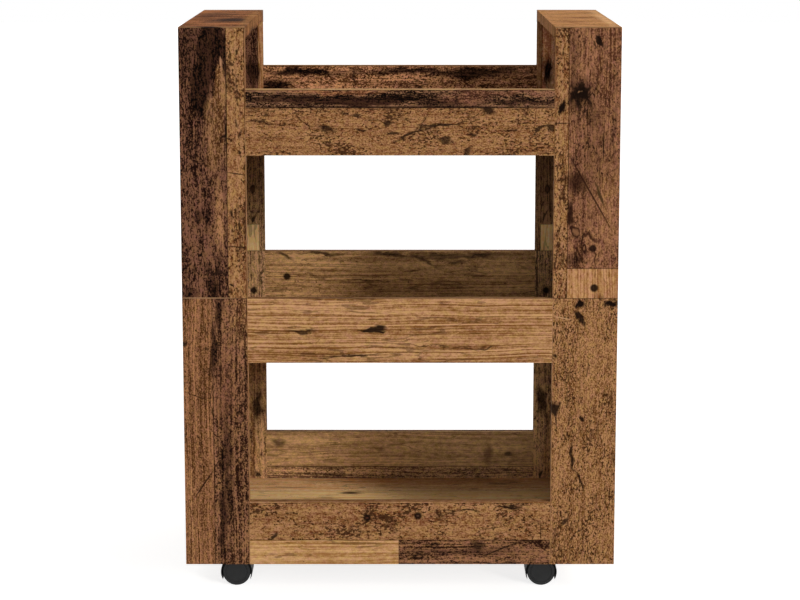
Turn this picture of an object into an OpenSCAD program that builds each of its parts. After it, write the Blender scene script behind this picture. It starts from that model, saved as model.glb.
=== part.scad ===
// Kitchen cart of printed boards: two hollow side posts, three railed trays and four hooded casters.
// Millimetres. The origin is on the floor under the middle of the cart, the front faces -Y, +Z is up.

/* [Cart] */
// Width over the outer side panels
cart_w = 600; // [520:10:800]
// Depth over the front and back boards
cart_d = 450; // [400:10:600]
// Height above the floor
cart_h = 800; // [760:10:950]

/* [Boards] */
// Thickness of every board
board_t = 15; // [15:1:18]
// Width of each front and back post
post_w = 90; // [80:5:120]
// Height of each rail
rail_h = 90; // [80:5:110]
// Distance from the top of the posts down to the top rails
top_drop = 84; // [60:2:110]

/* [Dowels] */
// Diameter of a beech dowel
dowel_d = 8; // [6:1:8]
// Length of a dowel
dowel_l = 30; // [25:5:35]
// Depth of a dowel in the face of a board
dowel_face_depth = 10; // [8:1:11]
// Chamfer on a dowel's ends
dowel_chamfer = 1; // [0.5:0.25:1.5]
// Distance between the two dowels in the end of a rail or a top board
narrow_pair = 50; // [40:5:60]
// Distance between the two dowels on either side of a panel's cam
panel_pair = 120; // [60:10:160]
// Distance between the two dowels along the edge of a shelf or a top board
wide_pair = 240; // [160:10:280]

/* [Cam fittings] */
// Diameter of a cam lock
cam_d = 15; // [12:1:15]
// Thickness of a cam lock
cam_h = 12; // [11:0.5:12.5]
// Distance from the joint to the middle of the cam lock
cam_setback = 34; // [24:1:36]
// Diameter of a cam bolt's thread
bolt_thread_d = 5; // [4:0.5:6]
// Length of a cam bolt's thread
bolt_thread_l = 11; // [9:1:12]
// Diameter of a cam bolt's collar
bolt_collar_d = 7.4; // [7:0.1:7.6]
// Length of a cam bolt's collar
bolt_collar_l = 6; // [3:1:8]
// Diameter of a cam bolt's shank
bolt_shank_d = 5; // [4:0.5:6]
// Diameter of a cam bolt's neck
bolt_neck_d = 3.6; // [3:0.2:4]
// Diameter of a cam bolt's head
bolt_head_d = 6; // [5:0.5:6.5]
// Length of a cam bolt's head
bolt_head_l = 3; // [2:0.5:3.5]
// Length of the cross recess in a cam lock's face
cross_l = 7; // [5:0.5:9]
// Width of the cross recess
cross_w = 1.6; // [1:0.2:2]
// Depth of the cross recess
cross_depth = 2.2; // [1.5:0.1:2.4]

/* [Caster places] */
// Distance of a swivel axis outside the inner edge of the posts
caster_out = 8; // [0:1:30]
// Distance of a swivel axis from the front or back of the cart
caster_inset = 85; // [60:5:110]
// Distance of the wheels behind their swivel axis
trail = 16; // [14:0.5:18]

/* [Caster plates] */
// Side of the square mounting plate
plate_w = 42; // [38:1:50]
// Thickness of the mounting plate
plate_t = 2; // [1.5:0.25:3]
// Corner radius of the mounting plate
plate_corner = 5; // [3:0.5:8]
// Distance between the screws of a plate
screw_pitch = 31; // [28:1:36]
// Diameter of a plate screw
screw_d = 3.5; // [3:0.25:4]
// Length of a plate screw below its head
screw_l = 12; // [9:1:13]
// Diameter of a plate screw's head
screw_head_d = 7; // [6:0.5:8]
// Thickness of a plate screw's head
screw_head_h = 2; // [1.5:0.25:2.5]

/* [Swivels] */
// Diameter of the stem that a caster swivels on
stem_d = 8; // [6:0.5:8]
// Length of the stem inside the hood
stem_in_hood = 24; // [20:1:26]
// Thickness of the thrust washer
washer_t = 1.8; // [1:0.2:3]
// Diameter of the thrust washer
washer_d = 16; // [14:0.5:18]
// Diameter of the hood's neck
neck_d = 16; // [14:0.5:18]
// Height of the neck above the hood
neck_h = 3.5; // [3:0.5:8]
// Wire of the spring ring that holds the hood on its stem
ring_wire = 0.8; // [0.6:0.1:1]
// Height of the spring ring above the stem's lower end
ring_up = 4; // [3:0.5:6]

/* [Wheels] */
// Diameter of a wheel
wheel_d = 40; // [38:1:50]
// Width of one wheel
wheel_w = 13; // [11:0.5:15]
// Round on a wheel's edges
wheel_round = 1.5; // [1:0.25:2]
// Thickness of a wheel's rim
rim_t = 4.5; // [3.5:0.25:5]
// Thickness of a wheel's outer disc
disc_t = 3; // [2.5:0.25:4]
// Diameter of a wheel's hub
hub_d = 12; // [10:0.5:14]
// Radius of the ring groove in a wheel's face
groove_r = 14.8; // [12:0.2:15]
// Width of the ring groove
groove_w = 0.8; // [0.6:0.1:1]
// Depth of the ring groove
groove_depth = 0.6; // [0.4:0.1:1]
// Diameter of the axle
axle_d = 5; // [4:0.25:6]
// Solid plastic between the axle's end and a wheel's face
axle_cover = 2; // [1:0.25:2.5]

/* [Hoods] */
// Wall of the hood
hood_t = 1.3; // [1:0.1:2]
// Thickness of the web between the wheels
web_w = 12; // [11.5:0.5:14]
// Angle below the axle at which the hood's tips end
tip_angle = 30; // [15:1:35]
// Extra angle that cuts the tips to a point
tip_bevel = 9; // [4:1:14]
// Distance that the hood stands past a wheel's face
hood_lip = 0.5; // [0.3:0.1:1]
// Radius of the web below the axle
web_r = 12; // [9:0.5:14]

/* [Clearances] */
// Gap round a dowel
dowel_gap = 0.1; // [0.05:0.05:0.2]
// Gap past the end of a dowel or a bolt
end_gap = 0.5; // [0.3:0.1:1]
// Gap round a cam lock
cam_gap = 0.15; // [0.05:0.05:0.25]
// Gap round a screwed thread
thread_gap = 0.05; // [0.02:0.01:0.1]
// Gap between a cam bolt's head or collar and what it sits in
bolt_gap = 0.3; // [0.2:0.05:0.4]
// Running gap of the hood on its stem
stem_gap = 0.05; // [0.03:0.01:0.1]
// Gap between the thrust washer and the neck
thrust_gap = 0.2; // [0.1:0.05:0.4]
// Running gap of a wheel on the axle
axle_gap = 0.05; // [0.03:0.01:0.1]
// Gap between a wheel and the web
web_gap = 0.5; // [0.3:0.1:1]
// Gap between a wheel's tread and the hood
tread_gap = 1.2; // [1:0.1:2]

/* [Hidden] */
$fn = 48;
CUT = 1; // a cut's reach past the face that it opens
SIDES = [-1, 1];
FACES = [-1, 1];
LEVELS = [0, 1, 2];
LEVEL_NAMES = ["bottom", "middle", "top"];
SIDE_NAMES = ["left", "right"];
FACE_NAMES = ["front", "back"];

wheel_r = wheel_d / 2;
hood_in_r = wheel_r + tread_gap;
hood_r = hood_in_r + hood_t;
neck_top = wheel_r + hood_r + neck_h;
plate_under = neck_top + thrust_gap + washer_t;
under_z = plate_under + plate_t; // underside of the boards

post_in_x = cart_w / 2 - post_w;
panel_in_x = cart_w / 2 - board_t;
panel_mid_x = cart_w / 2 - board_t / 2;
in_y = cart_d / 2 - board_t;
face_mid_y = cart_d / 2 - board_t / 2;
pitch = (cart_h - under_z - top_drop - rail_h) / 2;
function level_z(k) = under_z + k * pitch;
function shelf_mid_z(k) = level_z(k) + board_t / 2;

caster_x = post_in_x + caster_out;
caster_y = cart_d / 2 - caster_inset;
CASTERS = [["front_left", -1, -1], ["front_right", 1, -1], ["rear_left", -1, 1], ["rear_right", 1, 1]];
CASTER_PIECES = ["plate", "stem", "washer", "hood", "axle", "wheel_a", "wheel_b"];

// A joint is [middle of the joint, direction into the board with the cam, direction the cam faces].
function rail_ends(s, f, levels = LEVELS) = [for (k = levels)
    [[s * post_in_x, f * face_mid_y, level_z(k) + rail_h / 2], [s, 0, 0], [0, -f, 0]]];
function shelf_ends(s, levels = LEVELS) = [for (k = levels)
    [[s * panel_in_x, 0, shelf_mid_z(k)], [-s, 0, 0], [0, 0, -1]]];
function shelf_edges(f, levels = LEVELS) = [for (k = levels)
    [[0, f * in_y, shelf_mid_z(k)], [0, -f, 0], [0, 0, -1]]];
function panel_edges(s, f) = [for (k = [0, 1])
    [[s * panel_mid_x, f * in_y, level_z(k) + pitch / 2], [0, -f, 0], [-s, 0, 0]]];
function top_ends(s, f) = [[[s * (cart_w - post_w) / 2, f * in_y, cart_h - board_t / 2], [0, -f, 0], [0, 0, -1]]];
function top_edges(s) = [[[s * panel_mid_x, 0, cart_h - board_t], [0, 0, -1], [1, 0, 0]]];
function all_of(lists) = [for (l = lists, j = l) j];
ALL_RAIL_ENDS = all_of([for (s = SIDES, f = FACES) rail_ends(s, f)]);
ALL_SHELF_ENDS = all_of([for (s = SIDES) shelf_ends(s)]);
ALL_SHELF_EDGES = all_of([for (f = FACES) shelf_edges(f)]);
ALL_PANEL_EDGES = all_of([for (s = SIDES, f = FACES) panel_edges(s, f)]);
ALL_TOP_ENDS = all_of([for (s = SIDES, f = FACES) top_ends(s, f)]);
ALL_TOP_EDGES = all_of([for (s = SIDES) top_edges(s)]);

// Children are drawn with +Z into the cam's board and +X the way the cam faces.
module at_joints(joints) {
    for (j = joints) {
        point = j[0];
        into = j[1];
        open = j[2];
        across = cross(into, open);
        multmatrix([for (i = [0 : 2]) [open[i], across[i], into[i], point[i]]]) children();
    }
}

module at_pair(pair) {
    for (s = SIDES) translate([0, s * pair / 2, 0]) children();
}

module box(low, high) {
    translate(low) cube(high - low);
}

// Fasteners, each drawn at the joint that it closes
module dowels(joints, pair, depth) {
    at_joints(joints) at_pair(pair) translate([0, 0, -depth]) rotate_extrude() polygon([
        [0, 0], [dowel_d / 2 - dowel_chamfer, 0], [dowel_d / 2, dowel_chamfer],
        [dowel_d / 2, dowel_l - dowel_chamfer], [dowel_d / 2 - dowel_chamfer, dowel_l], [0, dowel_l]
    ]);
}

cam_edge = cam_setback - cam_d / 2 - cam_gap; // where a bolt's shank ends, just short of the cam lock
module cam_bolts(joints) {
    at_joints(joints) {
        translate([0, 0, -bolt_thread_l]) cylinder(d = bolt_thread_d, h = bolt_thread_l);
        cylinder(d = bolt_collar_d, h = bolt_collar_l);
        cylinder(d = bolt_shank_d, h = cam_edge);
        cylinder(d = bolt_neck_d, h = cam_setback);
        translate([0, 0, cam_setback - bolt_head_l / 2]) cylinder(d = bolt_head_d, h = bolt_head_l);
    }
}

module cam_locks(joints) {
    at_joints(joints) difference() {
        translate([board_t / 2 - cam_h, 0, cam_setback]) rotate([0, 90, 0]) cylinder(d = cam_d, h = cam_h);
        cylinder(d = bolt_neck_d + 2 * bolt_gap, h = cam_setback);
        translate([0, 0, cam_setback - bolt_head_l / 2 - bolt_gap])
            cylinder(d = bolt_head_d + 2 * bolt_gap, h = bolt_head_l + 2 * bolt_gap);
        for (turn = [0, 90]) translate([board_t / 2, 0, cam_setback]) rotate([turn, 0, 0])
            cube([2 * cross_depth, cross_w, cross_l], center = true);
    }
}

// Holes in the board whose face or end takes the thread, and in the board that takes the cam
module face_holes(joints, pair, depth, cam = true) {
    at_joints(joints) {
        if (cam) translate([0, 0, -bolt_thread_l - end_gap])
            cylinder(d = bolt_thread_d + 2 * thread_gap, h = bolt_thread_l + end_gap + CUT);
        at_pair(pair) translate([0, 0, -depth - end_gap])
            cylinder(d = dowel_d + 2 * dowel_gap, h = depth + end_gap + CUT);
    }
}

module edge_holes(joints, pair, depth, cam = true) {
    at_joints(joints) {
        if (cam) {
            translate([0, 0, -CUT]) cylinder(d = bolt_collar_d + 2 * bolt_gap, h = cam_setback + CUT);
            translate([board_t / 2 - cam_h - cam_gap, 0, cam_setback]) rotate([0, 90, 0])
                cylinder(d = cam_d + 2 * cam_gap, h = cam_h + cam_gap + CUT);
        }
        at_pair(pair) translate([0, 0, -CUT])
            cylinder(d = dowel_d + 2 * dowel_gap, h = dowel_l - depth + end_gap + CUT);
    }
}

// Boards
module side_panel(s) {
    difference() {
        box([s < 0 ? -cart_w / 2 : panel_in_x, -in_y, under_z],
            [s < 0 ? -panel_in_x : cart_w / 2, in_y, cart_h - board_t]);
        for (f = FACES) edge_holes(panel_edges(s, f), panel_pair, dowel_face_depth);
        face_holes(shelf_ends(s), wide_pair, dowel_face_depth);
        edge_holes(top_edges(s), wide_pair, dowel_face_depth, cam = false);
    }
}

module top_board(s) {
    difference() {
        box([s < 0 ? -cart_w / 2 : post_in_x, -in_y, cart_h - board_t],
            [s < 0 ? -post_in_x : cart_w / 2, in_y, cart_h]);
        for (f = FACES) edge_holes(top_ends(s, f), narrow_pair, dowel_face_depth);
        face_holes(top_edges(s), wide_pair, dowel_face_depth, cam = false);
    }
}

module post(s, f) {
    difference() {
        box([s < 0 ? -cart_w / 2 : post_in_x, f < 0 ? -cart_d / 2 : in_y, under_z],
            [s < 0 ? -post_in_x : cart_w / 2, f < 0 ? -in_y : cart_d / 2, cart_h]);
        edge_holes(rail_ends(s, f), narrow_pair, dowel_l / 2);
        face_holes(panel_edges(s, f), panel_pair, dowel_face_depth);
        face_holes(top_ends(s, f), narrow_pair, dowel_face_depth);
    }
}

module rail(f, k) {
    difference() {
        box([-post_in_x, f < 0 ? -cart_d / 2 : in_y, level_z(k)],
            [post_in_x, f < 0 ? -in_y : cart_d / 2, level_z(k) + rail_h]);
        for (s = SIDES) face_holes(rail_ends(s, f, [k]), narrow_pair, dowel_l / 2);
        face_holes(shelf_edges(f, [k]), wide_pair, dowel_face_depth);
    }
}

module shelf(k) {
    difference() {
        box([-panel_in_x, -in_y, level_z(k)], [panel_in_x, in_y, level_z(k) + board_t]);
        for (s = SIDES) edge_holes(shelf_ends(s, [k]), wide_pair, dowel_face_depth);
        for (f = FACES) edge_holes(shelf_edges(f, [k]), wide_pair, dowel_face_depth);
        if (k == 0) for (c = CASTERS) at_caster(c) at_screws() translate([0, 0, under_z - CUT])
            cylinder(d = screw_d + 2 * thread_gap, h = screw_l - plate_t + end_gap + CUT);
    }
}

// Casters, each drawn with its swivel axis on Z and its wheels trailing towards -X
module at_caster(c) {
    translate([c[1] * caster_x, c[2] * caster_y, 0]) children();
}

module at_screws() {
    for (x = SIDES, y = SIDES) translate([x * screw_pitch / 2, y * screw_pitch / 2, 0]) children();
}

module caster_plate() {
    translate([0, 0, plate_under]) linear_extrude(plate_t) difference() {
        union() {
            square([plate_w - 2 * plate_corner, plate_w], center = true);
            square([plate_w, plate_w - 2 * plate_corner], center = true);
            for (x = SIDES, y = SIDES) translate([x, y] * (plate_w / 2 - plate_corner)) circle(plate_corner);
        }
        circle(d = stem_d + 2 * thread_gap);
        at_screws() circle(d = screw_d + 2 * thread_gap);
    }
}

module plate_screw() {
    translate([0, 0, plate_under]) cylinder(d = screw_d, h = screw_l);
    translate([0, 0, plate_under - screw_head_h]) cylinder(d1 = screw_head_d * 0.6, d2 = screw_head_d, h = screw_head_h);
}

stem_low = neck_top - stem_in_hood;
ring_low = stem_low + ring_up;
module ring_groove(inner_r, outer_r, extra) {
    translate([0, 0, ring_low - extra]) difference() {
        cylinder(r = outer_r, h = ring_wire + 2 * extra);
        translate([0, 0, -CUT]) cylinder(r = inner_r, h = ring_wire + 2 * extra + 2 * CUT);
    }
}

module caster_stem() {
    difference() {
        translate([0, 0, stem_low]) cylinder(d = stem_d, h = under_z - stem_low);
        ring_groove(stem_d / 2 - ring_wire / 2, stem_d, thread_gap);
    }
}

// The ring is open on one side, so that it can be sprung over the stem.
module stem_ring() {
    difference() {
        ring_groove(stem_d / 2 - ring_wire / 2 + thread_gap, stem_d / 2 + ring_wire / 2, 0);
        translate([stem_d / 2, 0, ring_low]) cube([stem_d, stem_d / 2, 4 * ring_wire], center = true);
    }
}

module caster_washer() {
    translate([0, 0, plate_under - washer_t]) difference() {
        cylinder(d = washer_d, h = washer_t);
        translate([0, 0, -CUT]) cylinder(d = stem_d + 2 * stem_gap, h = washer_t + 2 * CUT);
    }
}

// The wheels' axle lies along Y, at the height of a wheel's radius.
module at_axle() {
    translate([-trail, 0, wheel_r]) rotate([90, 0, 0]) children();
}

hood_w = web_w + 2 * (web_gap + wheel_w + hood_lip);
// Everything above the two slanted cuts that give the hood its pointed tips
module above_tips() {
    reach = 2 * hood_r;
    inner_angle = tip_angle - tip_bevel;
    inner = hood_in_r * [cos(inner_angle), -sin(inner_angle)];
    outer = hood_r * [cos(tip_angle), -sin(tip_angle)];
    slope = (outer - inner) / norm(outer - inner) * reach;
    polygon([
        [0, inner[1]], inner, outer + slope * 0.1, [reach, outer[1] + slope[1] * 0.1], [reach, reach],
        [-reach, reach], [-reach, outer[1] + slope[1] * 0.1], [-outer[0] - slope[0] * 0.1, outer[1] + slope[1] * 0.1],
        [-inner[0], inner[1]]
    ]);
}

module caster_hood() {
    difference() {
        union() {
            at_axle() linear_extrude(hood_w, center = true) intersection() {
                difference() {
                    circle(hood_r);
                    circle(hood_in_r);
                }
                above_tips();
            }
            at_axle() linear_extrude(web_w, center = true) {
                intersection() {
                    circle(hood_in_r + hood_t / 2);
                    above_tips();
                }
                circle(web_r);
            }
            translate([0, 0, stem_low - end_gap - hood_t])
                cylinder(d = web_w, h = neck_top - stem_low + end_gap + hood_t);
            translate([0, 0, neck_top - neck_h - hood_t]) cylinder(d = neck_d, h = neck_h + hood_t);
        }
        translate([0, 0, stem_low - end_gap])
            cylinder(d = stem_d + 2 * stem_gap, h = neck_top - stem_low + end_gap + CUT);
        ring_groove(stem_d / 2, stem_d / 2 + ring_wire / 2 + bolt_gap, bolt_gap);
        at_axle() cylinder(d = axle_d + 2 * thread_gap, h = web_w + 2 * CUT, center = true);
    }
}

axle_half = web_w / 2 + web_gap + wheel_w - axle_cover - end_gap;
module caster_axle() {
    at_axle() cylinder(d = axle_d, h = 2 * axle_half, center = true);
}

// The wheel's profile runs from its hub's inner end round the rim to the middle of its outer face.
module wheel() {
    bore_r = axle_d / 2 + axle_gap;
    rim_in_r = wheel_r - rim_t;
    function corner(a, t) = [wheel_r - wheel_round * (1 - cos(a)), t];
    rotate_extrude() polygon(concat(
        [[bore_r, 0], [hub_d / 2, 0], [hub_d / 2, wheel_w - disc_t], [rim_in_r, wheel_w - disc_t], [rim_in_r, 0]],
        [for (a = [90 : -30 : 0]) corner(a, wheel_round * (1 - sin(a)))],
        [for (a = [0 : 30 : 90]) corner(a, wheel_w - wheel_round * (1 - sin(a)))],
        [[groove_r + groove_w, wheel_w], [groove_r + groove_w * 0.7, wheel_w - groove_depth],
         [groove_r + groove_w * 0.3, wheel_w - groove_depth], [groove_r, wheel_w]],
        [[0, wheel_w], [0, wheel_w - axle_cover], [bore_r, wheel_w - axle_cover]]
    ));
}

module caster_wheel(s) {
    at_axle() mirror([0, 0, s < 0 ? 1 : 0]) translate([0, 0, web_w / 2 + web_gap]) wheel();
}

module caster_piece(c, piece) {
    at_caster(c) {
        if (piece == "plate") color("silver") caster_plate();
        if (piece == "stem") color("gainsboro") caster_stem();
        if (piece == "washer") color("ivory") caster_washer();
        if (piece == "hood") color("#2b2b2c") caster_hood();
        if (piece == "axle") color("lightsteelblue") caster_axle();
        if (piece == "wheel_a") color("#303032") caster_wheel(1);
        if (piece == "wheel_b") color("#303032") caster_wheel(-1);
    }
}

// Fastener groups
module rail_dowels() {
    color("burlywood") dowels(ALL_RAIL_ENDS, narrow_pair, dowel_l / 2);
}

module shelf_dowels() {
    color("burlywood") dowels(concat(ALL_SHELF_ENDS, ALL_SHELF_EDGES), wide_pair, dowel_face_depth);
}

module panel_dowels() {
    color("burlywood") {
        dowels(ALL_PANEL_EDGES, panel_pair, dowel_face_depth);
        dowels(ALL_TOP_ENDS, narrow_pair, dowel_face_depth);
        dowels(ALL_TOP_EDGES, wide_pair, dowel_face_depth);
    }
}

module caster_screws() {
    color("silver") for (c = CASTERS) at_caster(c) at_screws() plate_screw();
}

module stem_rings() {
    color("dimgray") for (c = CASTERS) at_caster(c) stem_ring();
}

color("#7b5233") side_panel(-1);  // left_side_panel
color("#7b5233") side_panel(1);  // right_side_panel
color("#80543a") top_board(-1);  // left_top_board
color("#b37e53") top_board(1);  // right_top_board
color("#6a4830") post(-1, -1);  // left_front_post
color("#7d5738") post(1, -1);  // right_front_post
color("#5c412c") post(-1, 1);  // left_back_post
color("#5c412c") post(1, 1);  // right_back_post
rail_dowels();
shelf_dowels();
panel_dowels();
color("silver") cam_bolts(ALL_RAIL_ENDS);  // rail_cam_bolts
color("silver") cam_bolts(concat(ALL_SHELF_ENDS, ALL_SHELF_EDGES));  // shelf_cam_bolts
color("silver") cam_bolts(concat(ALL_PANEL_EDGES, ALL_TOP_ENDS));  // panel_cam_bolts
color("darkgray") cam_locks(ALL_RAIL_ENDS);  // rail_cam_locks
color("darkgray") cam_locks(concat(ALL_SHELF_ENDS, ALL_SHELF_EDGES));  // shelf_cam_locks
color("darkgray") cam_locks(concat(ALL_PANEL_EDGES, ALL_TOP_ENDS));  // panel_cam_locks
caster_screws();
stem_rings();
for (k = LEVELS) {
    color("#b98756") shelf(k);
    color("#96693f") rail(-1, k);
    color("#8a643f") rail(1, k);
}
for (c = CASTERS, p = CASTER_PIECES) {
    caster_piece(c, p);
}
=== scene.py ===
# %% [markdown]
# # A kitchen cart of printed boards
#
# This lesson dresses a finished construction model. The boards, fasteners and casters already
# have their real shape and place, so the work here is in the surfaces. The boards of the real
# cart are engineered wood under a printed paper that shows a collage of old planks, and nearly
# all of the cart's character is in that print.
#
# The first step loads the model. Its pieces could be drawn again here, but two drawings drift
# apart, so the construction is used as it is. Dressing the cart must not change its size.

import math
import random

import bpy
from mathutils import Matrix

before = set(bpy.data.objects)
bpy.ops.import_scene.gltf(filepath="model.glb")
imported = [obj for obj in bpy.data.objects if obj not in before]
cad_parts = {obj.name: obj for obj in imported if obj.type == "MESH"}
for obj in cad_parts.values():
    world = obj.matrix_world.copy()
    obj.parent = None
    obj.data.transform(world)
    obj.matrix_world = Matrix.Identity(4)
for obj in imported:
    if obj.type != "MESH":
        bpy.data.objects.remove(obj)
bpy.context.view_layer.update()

# %% [markdown]
# ## Three helpers
#
# Materials can be wired up by hand in the node editor, but in code each step can be read and
# repeated. The first helper turns a colour that was picked as an sRGB hex value into the linear
# value that a shader works with. The second adds one node to a tree, with its settings and links,
# so that each material below reads as a list of what it does. The third clears a tree for that.

# %% Colours and nodes
MM = 0.001


def linear(hex_colour):
    parts = [int(hex_colour[i:i + 2], 16) / 255 for i in (1, 3, 5)]
    return [p / 12.92 if p <= 0.04045 else ((p + 0.055) / 1.055) ** 2.4 for p in parts] + [1.0]


def add(tree, kind, sockets=None, out=0, **settings):
    """kind is the node's type without ShaderNode. out is the output that is given back, if any."""
    node = tree.nodes.new("ShaderNode" + kind)
    for name, value in settings.items():
        setattr(node, name, value)
    for name, value in (sockets or {}).items():
        if isinstance(value, bpy.types.NodeSocket):
            tree.links.new(value, node.inputs[name])
        else:
            node.inputs[name].default_value = value
    return node.outputs[out] if node.outputs else None


def emptied(owner):
    """The node tree of a material or a world, without the nodes that it comes with."""
    owner.use_nodes = True
    owner.node_tree.nodes.clear()
    return owner.node_tree


# The Mix node keeps its sockets for numbers, vectors and colours side by side, so they are named
# here by number.
MIX_FACTOR = 0
NUMBER_A, NUMBER_B, AS_NUMBER = 2, 3, {"out": 0, "data_type": "FLOAT"}
VECTOR_A, VECTOR_B, AS_VECTOR = 4, 5, {"out": 1, "data_type": "VECTOR"}
COLOUR_A, COLOUR_B, AS_COLOUR = 6, 7, {"out": 2, "data_type": "RGBA"}
print("Mid brown in linear light:", [round(c, 3) for c in linear("#7f5f3f")])

# %% [markdown]
# ## The camera
#
# The camera stands in front of the cart and a little above its top, and looks slightly down. A
# level camera with a raised lens would keep the uprights exactly parallel, but it would push the
# cart out of every other view, so this one is tilted. Its distance sets how much smaller the back
# boards look than the front ones, and its long lens then fills the picture.

# %% Camera
CAMERA_PLACE = (0.0, -3.489, 0.993)
CAMERA_PITCH = 9.85
CAMERA_LENS = 108.3
SENSOR_WIDTH = 36

camera_data = bpy.data.cameras.new("camera")
camera_data.lens = CAMERA_LENS
camera_data.sensor_width = SENSOR_WIDTH
camera = bpy.data.objects.new("camera", camera_data)
camera.location = CAMERA_PLACE
camera.rotation_euler = (math.radians(90 - CAMERA_PITCH), 0, 0)
bpy.context.collection.objects.link(camera)
bpy.context.scene.camera = camera
print("Camera", CAMERA_PLACE, "looks down by", CAMERA_PITCH, "degrees")

# %% [markdown]
# ## The studio
#
# Three sun lamps stand for one tall soft light at the front right and a weaker one beside the
# camera. The low lamp reaches under the middle tray to the back rails, the high one reaches the
# bottom shelf, and the front lamp keeps the right side of the inside from going black. Area lamps
# would be closer to a real studio, but their light falls off across the cart and a sun's doesn't.
# A sun lamp's angle sets how soft its shadows are, and these are wide enough that the shadow of
# the right post fades over a hand's width.

# %% Lamps
# A lamp's numbers are its degrees to the right of the camera, its degrees above the floor, its
# strength and its angle.
LOW_KEY = (36, 16, 1.3, 12)
HIGH_KEY = (37, 27, 1.0, 12)
FRONT_LIGHT = (-3, 9, 0.76, 24)


def soft_sun(name, azimuth, height, strength, width):
    lamp = bpy.data.lights.new(name, "SUN")
    lamp.energy = strength
    lamp.angle = math.radians(width)
    sun = bpy.data.objects.new(name, lamp)
    sun.rotation_euler = (math.radians(90 - height), 0, math.radians(azimuth))
    bpy.context.collection.objects.link(sun)


soft_sun("low_key", *LOW_KEY)
soft_sun("high_key", *HIGH_KEY)
soft_sun("front_light", *FRONT_LIGHT)
print("Lamps stand", LOW_KEY[0], HIGH_KEY[0], FRONT_LIGHT[0], "degrees to the right of the camera")

# %% [markdown]
# The world does two jobs. To the camera, and in reflections, it is plain white. As a light it is
# dimmer, and it brightens towards one direction, high behind the cart. A plain white world would
# be simpler, but it would light every side alike and wash the shadows out of the inside.

# %% World
ROOM_FILL = 0.11
BACKDROP_FILL = 0.6
BACKDROP_PLACE = (0.0, 0.6, 0.8)


def seen_directly(tree):
    """One where the camera looks, also by way of a reflection, and nought for light on things."""
    path = add(tree, "LightPath").node.outputs
    seen = add(tree, "Math", {0: path["Is Camera Ray"], 1: path["Is Glossy Ray"]},
               operation="MAXIMUM")
    return add(tree, "Math", {0: seen, 1: path["Is Transmission Ray"]}, operation="MAXIMUM")


world = bpy.data.worlds.new("studio")
bpy.context.scene.world = world
tree = emptied(world)
direction = add(tree, "TexCoord", out="Generated")
towards = add(tree, "VectorMath", {0: direction, 1: BACKDROP_PLACE}, out="Value",
              operation="DOT_PRODUCT")
fill = add(tree, "MapRange",
           {"Value": towards, "To Min": ROOM_FILL, "To Max": ROOM_FILL + BACKDROP_FILL})
strength = add(tree, "Mix", {MIX_FACTOR: seen_directly(tree), NUMBER_A: fill, NUMBER_B: 1.0},
               **AS_NUMBER)
background = add(tree, "Background", {"Color": (1, 1, 1, 1), "Strength": strength})
add(tree, "OutputWorld", {"Surface": background})
print("The room gives", ROOM_FILL, "and the backdrop up to", ROOM_FILL + BACKDROP_FILL)

# %% [markdown]
# The floor is a large disc of pale paper. It would look grey beside the white background, so what
# the camera sees of it is lifted a little, and the cart's own shadow stays on it. More light
# would lift it as well, but that would bleach the cart too.

# %% Floor
# Unglazed paper is matt and a touch warm: it takes a soft shadow and gives no reflection.
FLOOR_COLOUR = "#c9c7c4"
FLOOR_LIFT = 0.8
FLOOR_RADIUS = 14
FLOOR_SIDES = 96

bpy.ops.mesh.primitive_circle_add(vertices=FLOOR_SIDES, radius=FLOOR_RADIUS, fill_type="NGON")
floor = bpy.context.object
floor.name = "floor"
paper = bpy.data.materials.new("pale_studio_paper")
tree = emptied(paper)
matte = add(tree, "BsdfDiffuse", {"Color": linear(FLOOR_COLOUR)})
lift = add(tree, "Math", {0: seen_directly(tree), 1: FLOOR_LIFT}, operation="MULTIPLY")
glow = add(tree, "Emission", {"Color": (1, 1, 1, 1), "Strength": lift})
both = add(tree, "AddShader", {0: matte, 1: glow})
add(tree, "OutputMaterial", {"Surface": both})
floor.data.materials.append(paper)
bpy.context.scene.view_settings.view_transform = "Standard"
print("Floor disc", [round(d, 1) for d in floor.dimensions])

# %% [markdown]
# ## The print of old planks
#
# The paper shows boards from different old planks: some nearly black, some honey coloured, all
# with grain lines, worn mottling, dark flecks, pale flecks and long cracks. A photograph would do
# it in one step, but a drawn pattern stays sharp at any distance and can be laid out plank by
# plank. So one node group draws a piece of old wood in real millimetres, and every plank below
# calls for it with its own colours and wear.
#
# All of its patterns are noise stretched along the grain. The real print's finest lines and grit
# are a few tenths of a millimetre wide, which is less than a pixel from this camera, so they are
# drawn two or three times coarser.

# %% Noise in millimetres
# A pattern is the length and width of one blob in millimetres, its detail, its roughness and a
# shift that keeps it apart from other patterns of its size.
GRAIN_BENDS = ((230.0, 60.0), 2.0, 0.5, 0.0)
NOISE_MIDDLE = 0.5


def blobs(tree, place, size_mm, detail, roughness, shift):
    scale = (1 / size_mm[0], 1 / size_mm[1], 1.0)
    scaled = add(tree, "VectorMath", {0: place, 1: scale, 2: (shift, shift, shift)},
                 operation="MULTIPLY_ADD")
    return add(tree, "TexNoise",
               {"Vector": scaled, "Scale": 1.0, "Detail": detail, "Roughness": roughness})


print("The grain bends every", GRAIN_BENDS[0][0], "mm or so")

# %% The grain and its tone
BEND_MM = 9.0
LINES = ((300.0, 1.7), 1.5, 0.5, 5.0)
FIBRES = ((7.0, 2.0), 3.0, 0.65, 7.0)
BANDS = ((95.0, 13.0), 4.0, 0.6, 3.0)
GRIT = ((2.2, 1.8), 1.0, 0.5, 13.0)
MOTTLE = ((8.0, 4.5), 2.0, 0.5, 51.0)
MOTTLE_AMOUNT = 1.3
MIDDLE_TONE = 0.5


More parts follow.
